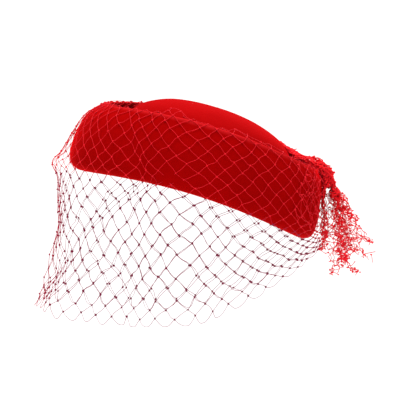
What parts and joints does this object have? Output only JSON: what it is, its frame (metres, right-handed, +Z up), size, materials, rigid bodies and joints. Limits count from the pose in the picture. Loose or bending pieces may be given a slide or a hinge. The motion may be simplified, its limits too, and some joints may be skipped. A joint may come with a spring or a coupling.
{
  "type": "pillbox hat",
  "caption": "Red velvet pillbox hat with a tall upturned cuff, a shallow domed crown and a red diamond net veil gathered at the back.",
  "frame": {"origin": "middle of the head opening, in the pose in which the hat is worn, tipped back by 16.5 degrees", "axes": "-Y to the front of the hat, +X to the wearer's left, +Z up"},
  "size_m": [0.1718, 0.249, 0.1641],
  "materials": {
    "crown_velvet": "velvet pile",
    "cuff_velvet": "velvet pile",
    "veil_net": "thin knotted thread",
    "gathered_net": "crushed net thread"
  },
  "bodies": {
    "root": {"crown": "crown_velvet", "cuff": "cuff_velvet", "veil": "veil_net", "veil_gather": "gathered_net", "veil_tail_main": "gathered_net", "veil_tail_small": "gathered_net"}
  },
  "joints": []
}
